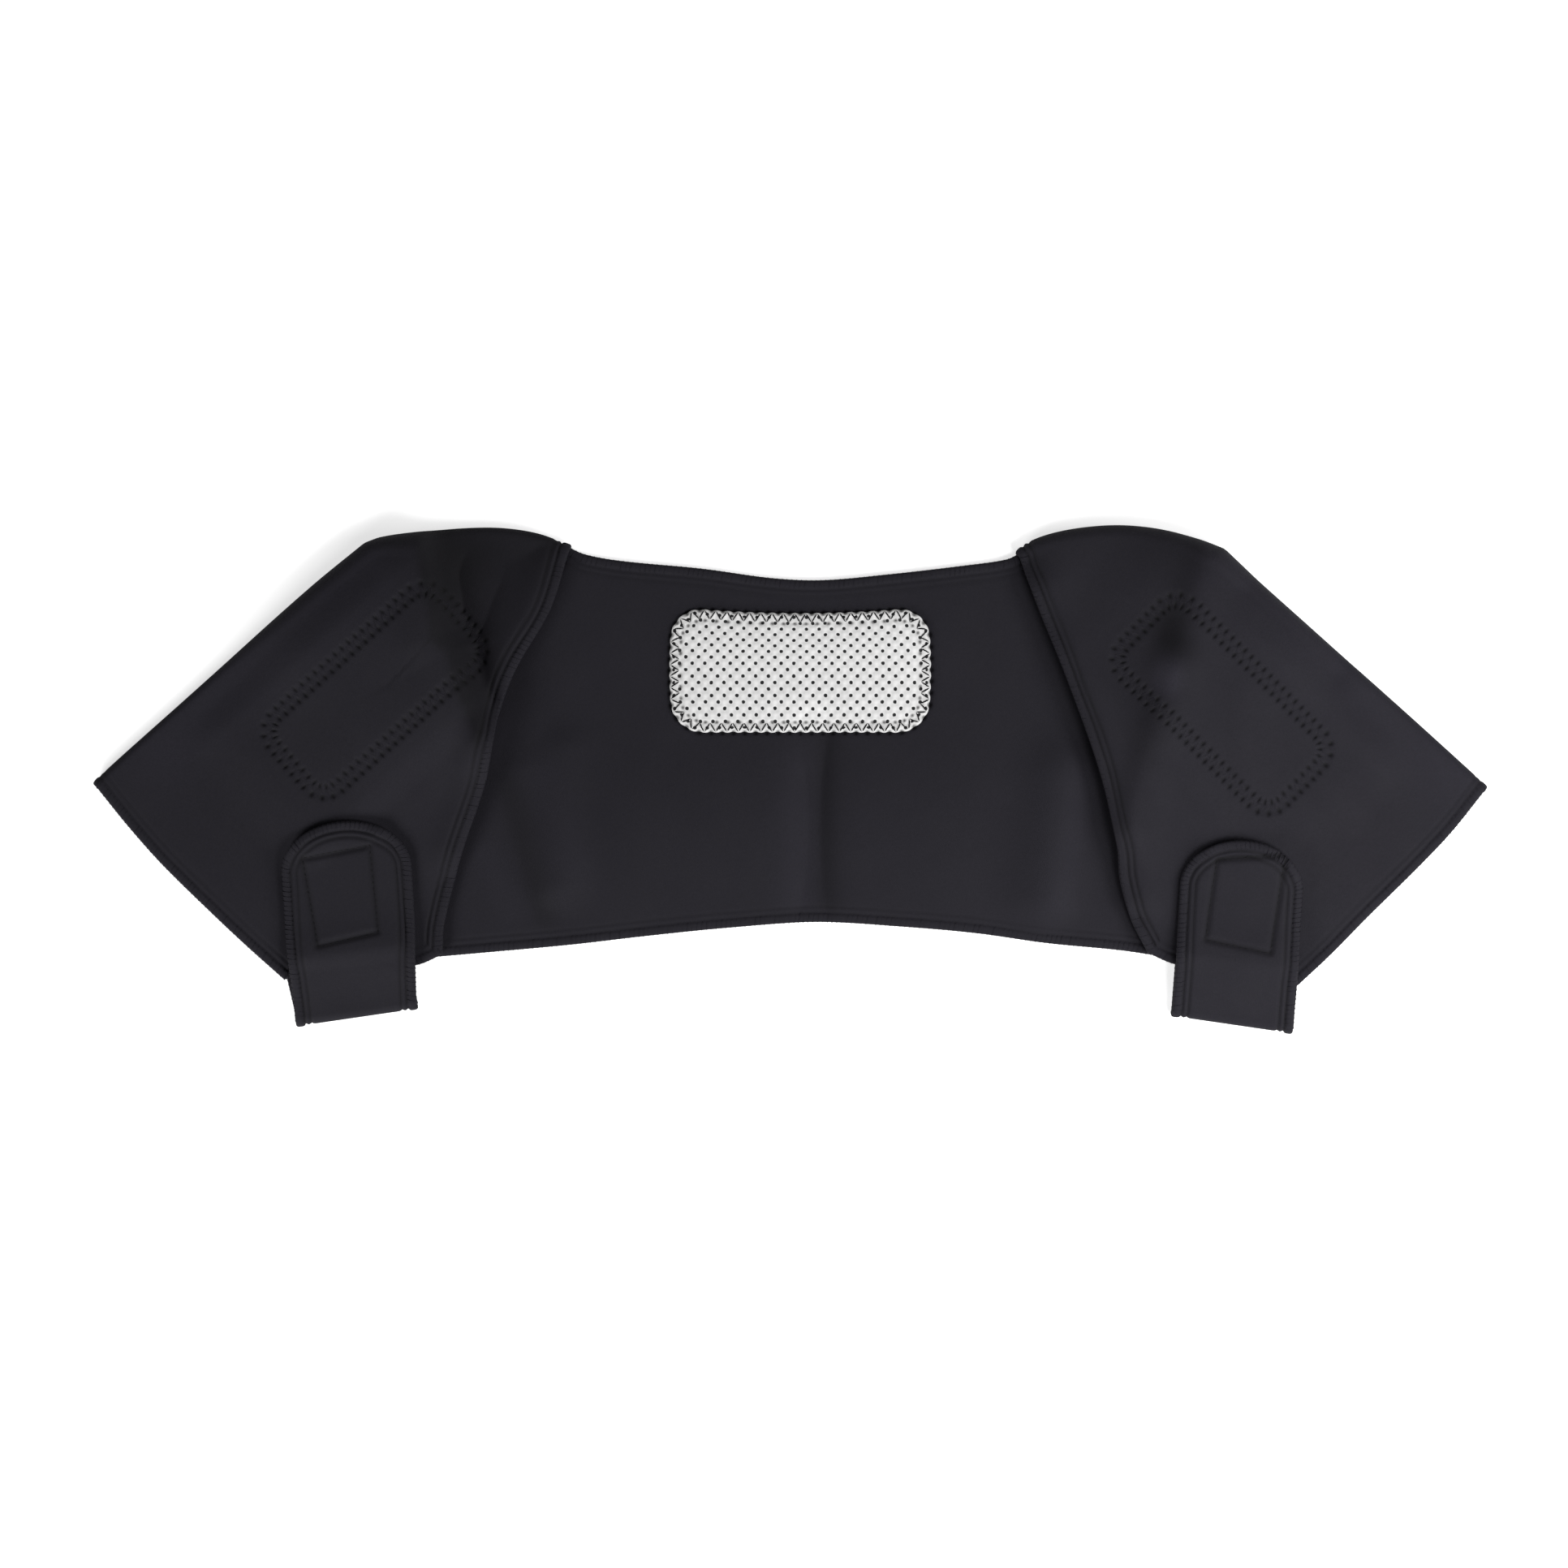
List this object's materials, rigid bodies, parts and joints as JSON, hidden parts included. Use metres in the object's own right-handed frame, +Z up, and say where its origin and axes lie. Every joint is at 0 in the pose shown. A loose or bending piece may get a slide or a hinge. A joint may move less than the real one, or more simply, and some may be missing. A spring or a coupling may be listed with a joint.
{
  "type": "shoulder brace",
  "caption": "Neoprene brace for both shoulders, laid flat with its inner face up, with folded sleeves, a dotted back pad and straps folded onto the flaps.",
  "frame": {"origin": "on the table, under the middle of the box round the whole brace", "axes": "+X from the left sleeve of the picture to the right one, +Y from the bottom hem to the neckline, +Z up off the table"},
  "size_m": [0.719, 0.2614, 0.0259],
  "materials": {
    "neoprene": "matte knit over foam",
    "pad_cloth": "matte white knit with black dots",
    "hook_tape": "matte black hook tape"
  },
  "bodies": {
    "root": {"back_panel": "neoprene", "left_shoulder_panel": "neoprene", "right_shoulder_panel": "neoprene", "left_strap": "neoprene", "right_strap": "neoprene", "back_heating_pad": "pad_cloth", "left_shoulder_heating_pad": "pad_cloth", "right_shoulder_heating_pad": "pad_cloth", "left_hook_patch": "hook_tape", "right_hook_patch": "hook_tape"}
  },
  "joints": []
}
